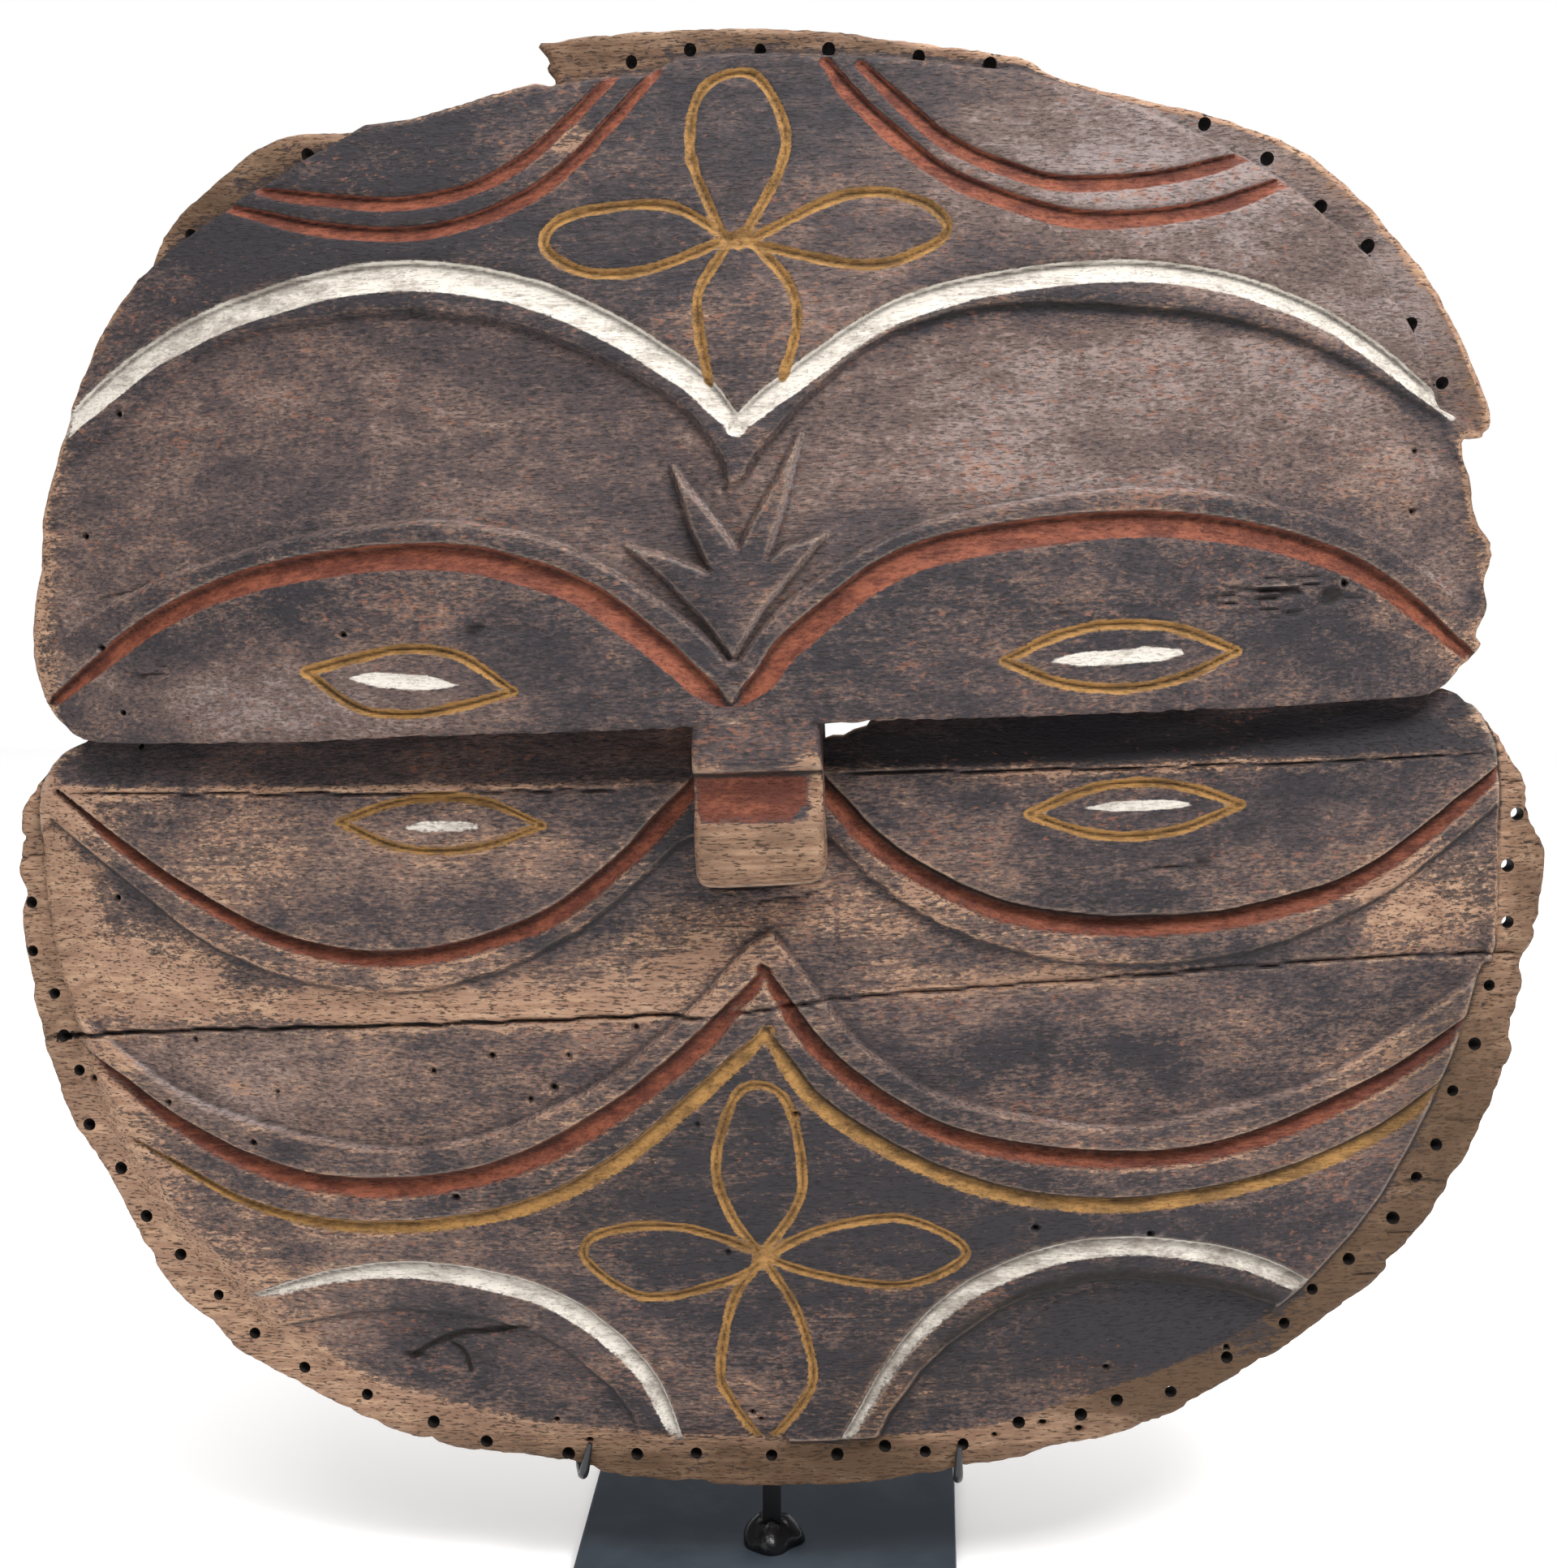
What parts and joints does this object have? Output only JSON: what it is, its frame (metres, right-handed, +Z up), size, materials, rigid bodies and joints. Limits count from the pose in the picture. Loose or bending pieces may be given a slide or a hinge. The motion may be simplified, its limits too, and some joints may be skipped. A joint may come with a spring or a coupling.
{
  "type": "wooden disc mask on a steel stand",
  "caption": "Carved and painted wooden disc mask with a horizontal eye ledge and block nose, held upright on a small black steel stand.",
  "frame": {"origin": "bottom centre of the whole part, on the surface that the stand's plate rests on", "axes": "+Z up, +X to the viewer's right, -Y out of the carved face"},
  "size_m": [0.3806, 0.098, 0.3863],
  "materials": {
    "carved_wood": "hand carved, worn charcoal, red, ochre and white pigment over bare tan wood",
    "black_steel": "satin black paint",
    "weld_paint": "glossy black paint over lumpy weld",
    "hook_wire": "dark satin wire",
    "felt": "black felt"
  },
  "bodies": {
    "root": {"mask": "carved_wood", "foot_plate": "black_steel", "post": "black_steel", "weld_bead": "weld_paint", "hook_rod": "hook_wire", "rest_pad": "felt"}
  },
  "joints": []
}
